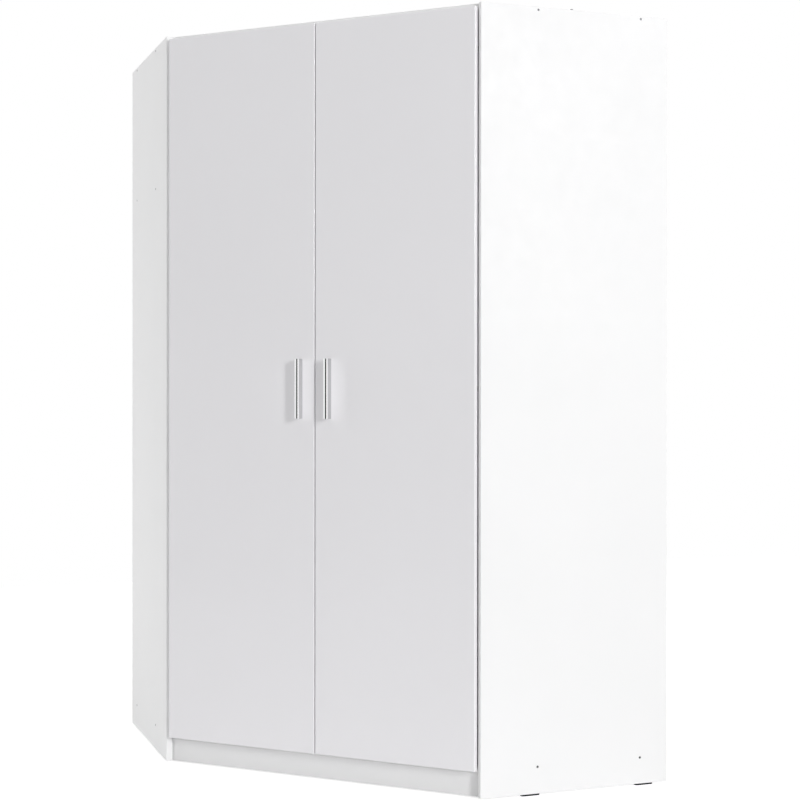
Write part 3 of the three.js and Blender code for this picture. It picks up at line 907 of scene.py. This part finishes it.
def add_nails():
    """Level rows into the boards, and upright rows into the corner post and the partition."""
    data = nail()
    levels = [middle(name, UP) for name in ("bottom_board", "top_board")]
    hat = middle("hat_shelf", UP)
    post_x, post_y = middle("corner_post", X_AXIS), middle("corner_post", Y_AXIS)
    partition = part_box("partition")
    low_z, high_z = levels[0] + NAIL_INSET, levels[1] - NAIL_INSET
    for sheet in ("back_left_1", "back_left_2"):
        low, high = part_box(sheet)
        ends = (low.y + NAIL_INSET, high.y - NAIL_INSET)
        rows = [nail_row((low.x, ends[0], z), (low.x, ends[1], z)) for z in (*levels, hat)]
        if low.y < post_y < high.y:
            rows.append(nail_row((low.x, post_y, low_z), (low.x, post_y, high_z)))
        drive_nails(sheet, data, rows, -X_AXIS)
    for sheet in ("back_right_1", "back_right_2"):
        low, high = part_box(sheet)
        ends = (low.x + NAIL_INSET, high.x - NAIL_INSET)
        heights = (*levels, hat) if sheet == "back_right_1" else levels
        rows = [nail_row((ends[0], high.y, z), (ends[1], high.y, z)) for z in heights]
        edge = (max(low.x, partition[0].x) + min(high.x, partition[1].x)) / 2
        rows.append(nail_row((edge, high.y, low_z), (edge, high.y, high_z)))
        if low.x < post_x < high.x:
            rows.append(nail_row((post_x, high.y, low_z), (post_x, high.y, high_z)))
        drive_nails(sheet, data, rows, Y_AXIS)


# Studio: a floor that shows white with the object's shadow, a white background, and soft lamps
WHITE = 1.0
WORLD_LIGHT = 0.35
FLOOR_HALF = 4.0
FLOOR_BOUNCE = 0.9
FLOOR_GLOW = 0.77
FLOOR_SHADE = 0.5


def grey(level):
    return (level, level, level, 1)


def seen_directly(tree):
    """1 for camera, glossy and transmission rays, and 0 for the rays that light the object."""
    path = add_node(tree, "ShaderNodeLightPath").outputs
    mirrored = calculate(tree, "MAXIMUM", path["Is Camera Ray"], path["Is Glossy Ray"])
    return calculate(tree, "MAXIMUM", mirrored, path["Is Transmission Ray"])


def add_world():
    world = bpy.data.worlds.new("studio")
    bpy.context.scene.world = world
    world.use_nodes = True
    tree = world.node_tree
    tree.nodes.clear()
    lighting = add_node(tree, "ShaderNodeBackground", {"Color": grey(WORLD_LIGHT)})
    white = add_node(tree, "ShaderNodeBackground", {"Color": grey(WHITE)})
    output = add_node(tree, "ShaderNodeOutputWorld")
    tree.links.new(mix_shaders(tree, seen_directly(tree), lighting, white), output.inputs["Surface"])


def add_floor():
    """Seen directly, the floor is almost white and keeps its shadow; other rays find a plain pale floor."""
    mesh = bmesh.new()
    corners = [(-1, -1), (1, -1), (1, 1), (-1, 1)]
    mesh.faces.new(ring(mesh, [(FLOOR_HALF * x, FLOOR_HALF * y) for x, y in corners], 0))
    material, tree, shader = new_tree("floor")
    tree.nodes.remove(shader)
    plain = add_node(tree, "ShaderNodeBsdfDiffuse", {"Color": grey(FLOOR_BOUNCE)})
    shade = add_node(tree, "ShaderNodeBsdfDiffuse", {"Color": grey(FLOOR_SHADE)})
    glow = add_node(tree, "ShaderNodeEmission", {"Color": grey(WHITE), "Strength": FLOOR_GLOW})
    shown = add_node(tree, "ShaderNodeAddShader", {0: shade.outputs[0], 1: glow.outputs[0]})
    surface = mix_shaders(tree, seen_directly(tree), plain, shown)
    tree.links.new(surface, tree.nodes["Material Output"].inputs["Surface"])
    floor = bpy.data.objects.new("floor", finish_mesh(mesh, "floor", material))
    bpy.context.scene.collection.objects.link(floor)


# Lamps: name, direction in plan from +X, height angle, distance, size and level; at level 1 white shows white
LAMPS = (
    ("key", 18.0, 13.0, 10.0, (1.4, 3.4), 0.490),
    ("left_fill", 237.0, 8.0, 6.0, (3.0, 3.0), 0.237),
    ("low_fill", 237.0, -13.0, 2.6, (2.5, 0.8), 0.023),
    ("top", -45.0, 80.0, 5.0, (4.0, 4.0), 0.33),
)
AIM_HEIGHT = 1.0


def add_lamps():
    for name, plan, height, distance, size, level in LAMPS:
        data = bpy.data.lights.new(name, "AREA")
        data.shape = "RECTANGLE"
        data.size, data.size_y = size
        data.energy = level * math.pi ** 2 * distance ** 2
        plan, height = math.radians(plan), math.radians(height)
        way = Vector((math.cos(plan) * math.cos(height), math.sin(plan) * math.cos(height), math.sin(height)))
        lamp = bpy.data.objects.new(name, data)
        lamp.location = way * distance + UP * AIM_HEIGHT
        lamp.rotation_euler = way.to_track_quat("Z", "Y").to_euler()
        bpy.context.scene.collection.objects.link(lamp)


add_camera()
dress_nodes()
add_screw_rims()
add_left_glides()
add_shelf_pins()
add_hinge_screws()
add_handle_screws()
add_rail_screws()
add_brackets()
add_plinth_blocks()
add_nails()
add_world()
add_floor()
add_lamps()
bpy.context.scene.view_settings.view_transform = "Standard"
# Without blur, the light that the handles' sides mirror onto the doors stays where it falls
bpy.context.scene.cycles.blur_glossy = 0.0
